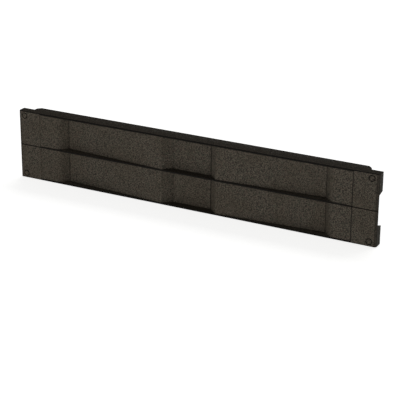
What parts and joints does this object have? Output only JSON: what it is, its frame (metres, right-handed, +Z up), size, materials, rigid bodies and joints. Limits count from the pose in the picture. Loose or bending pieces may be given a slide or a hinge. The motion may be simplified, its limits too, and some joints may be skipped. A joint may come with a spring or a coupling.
{
  "type": "rack blanking panel",
  "caption": "Plastic blanking panel that snaps onto the rails of a 19-inch rack to close an empty two-unit space; waved, ledged face.",
  "frame": {"origin": "centre of the four snap pegs, on the plane where the panel meets the rack rails", "axes": "+X to the right along the panel as seen from the front, +Y towards the back of the rack, +Z up"},
  "size_m": [0.4826, 0.0215, 0.0882],
  "materials": {
    "shell_plastic": "fine moulded grain, warm dark grey"
  },
  "bodies": {
    "root": {"blanking_panel": "shell_plastic"}
  },
  "joints": []
}
